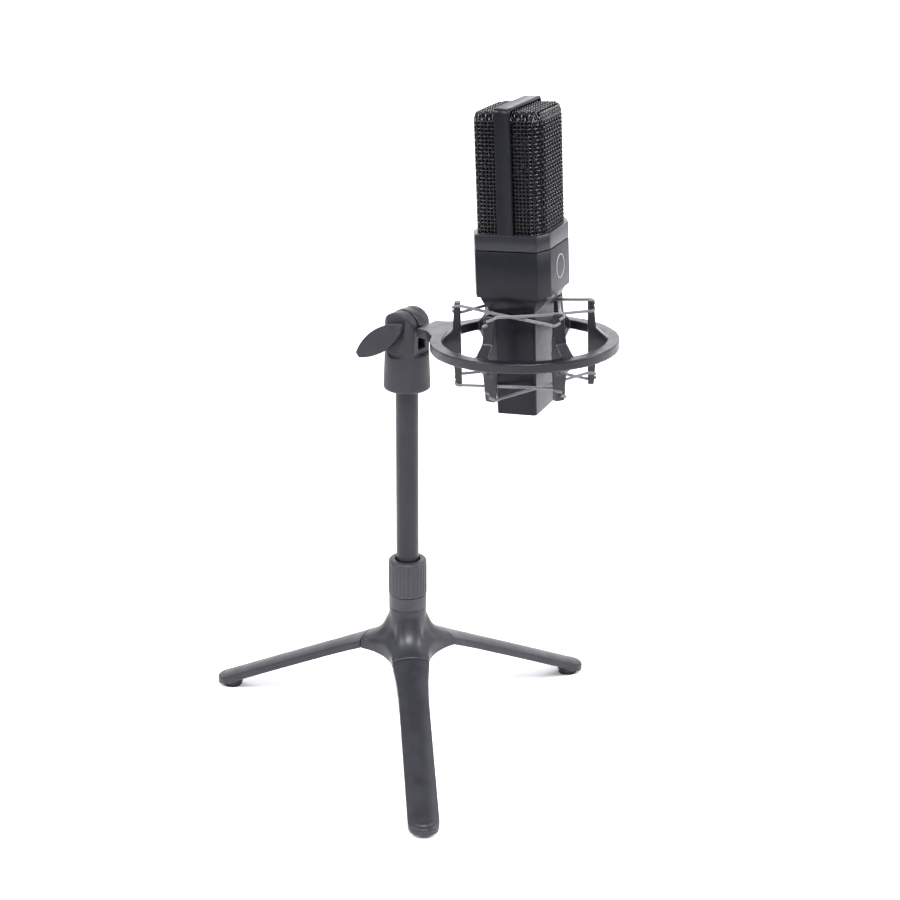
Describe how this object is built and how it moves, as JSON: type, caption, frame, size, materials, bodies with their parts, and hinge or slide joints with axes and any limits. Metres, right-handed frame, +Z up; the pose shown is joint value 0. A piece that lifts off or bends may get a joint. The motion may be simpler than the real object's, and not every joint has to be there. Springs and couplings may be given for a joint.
{
  "type": "desktop microphone",
  "caption": "Side-address studio microphone hung on elastic cords in a ring shock mount, on a swivel and pole above a folding tripod.",
  "frame": {"origin": "on the desk, under the middle of the stand's outline", "axes": "+Z up; the front leg points to -Y and the fixed leg to +X and +Y"},
  "size_m": [0.2324, 0.2036, 0.3835],
  "materials": {
    "tripod_plastic": "satin moulded",
    "foot_rubber": "matt",
    "bright_steel": "machined",
    "lock_plastic": "satin ribbed",
    "pole_paint": "satin powder coat",
    "swivel_plastic": "satin moulded",
    "thread_brass": "machined",
    "mount_plastic": "satin moulded",
    "elastic_cord": "braided",
    "mic_paint": "satin black",
    "collar_satin": "satin",
    "grille_wire": "woven wire",
    "emblem_grey": "printed",
    "insert_plastic": "moulded",
    "contact_plate": "plated",
    "capsule_metal": "machined",
    "diaphragm_gold": "sputtered film",
    "board_laminate": "solder mask",
    "component_body": "moulded"
  },
  "bodies": {
    "base": {"hub_with_fixed_leg": "tripod_plastic", "right_foot": "foot_rubber", "hub_bottom_cover": "tripod_plastic", "leg_hinge_pins": "bright_steel", "collar_seat": "lock_plastic", "collet": "lock_plastic"},
    "front_leg": {"front_leg": "tripod_plastic", "front_foot": "foot_rubber"},
    "left_leg": {"left_leg": "tripod_plastic", "left_foot": "foot_rubber"},
    "lock_collar": {"lock_collar": "lock_plastic"},
    "pole": {"pole_tube": "pole_paint", "pole_end_stop": "lock_plastic", "pole_top_thread": "bright_steel"},
    "swivel": {"swivel_body": "swivel_plastic", "swivel_thread_insert": "thread_brass", "clamp_nut": "bright_steel", "friction_washers": "bright_steel"},
    "thumb_screw": {"thumb_screw_knob": "swivel_plastic", "clamp_bolt": "bright_steel"},
    "head": {"base_screws": "bright_steel", "shock_mount_frame": "mount_plastic", "elastic_upper": "elastic_cord", "elastic_lower": "elastic_cord", "head_shell": "mic_paint", "neck_transition": "mic_paint", "lower_body": "mic_paint", "base_plate": "mic_paint", "head_band": "mic_paint", "connector_shell": "mic_paint", "head_collar": "collar_satin", "grille_front": "grille_wire", "grille_rear": "grille_wire", "emblem_ring": "emblem_grey", "connector_insert": "insert_plastic", "capsule_deck": "insert_plastic", "capsule_saddle": "insert_plastic", "contact_pins": "contact_plate", "capsule_body": "capsule_metal", "capsule_diaphragms": "diaphragm_gold", "circuit_board": "board_laminate", "board_components": "component_body"}
  },
  "joints": [
    {"name": "front_leg_fold", "type": "hinge", "parent": "base", "child": "front_leg", "pos_m": [0, 0.0083, 0.0509], "axis": [1, 0, 0], "range_deg": [0, 70]},
    {"name": "left_leg_fold", "type": "hinge", "parent": "base", "child": "left_leg", "pos_m": [-0.01966, 0.04235, 0.0509], "axis": [-0.5, -0.866, 0], "range_deg": [0, 70]},
    {"name": "lock_collar_turn", "type": "hinge", "parent": "base", "child": "lock_collar", "pos_m": [0, 0.031, 0.098], "axis": [0, 0, 1], "range_deg": [0, 150]},
    {"name": "pole_slide", "type": "slide", "parent": "base", "child": "pole", "axis": [0, 0, 1], "range_m": [-0.041, 0.013]},
    {"name": "swivel_turn", "type": "hinge", "parent": "pole", "child": "swivel", "pos_m": [0, 0.031, 0.224], "axis": [0, 0, 1], "range_deg": [-180, 180]},
    {"name": "thumb_screw_turn", "type": "hinge", "parent": "swivel", "child": "thumb_screw", "pos_m": [0, 0.031, 0.251], "axis": [-0.6046, -0.7965, 0], "range_deg": [-180, 180]},
    {"name": "head_tilt", "type": "hinge", "parent": "swivel", "child": "head", "pos_m": [0, 0.031, 0.251], "axis": [-0.6046, -0.7965, 0], "range_deg": [-27, 88]}
  ]
}
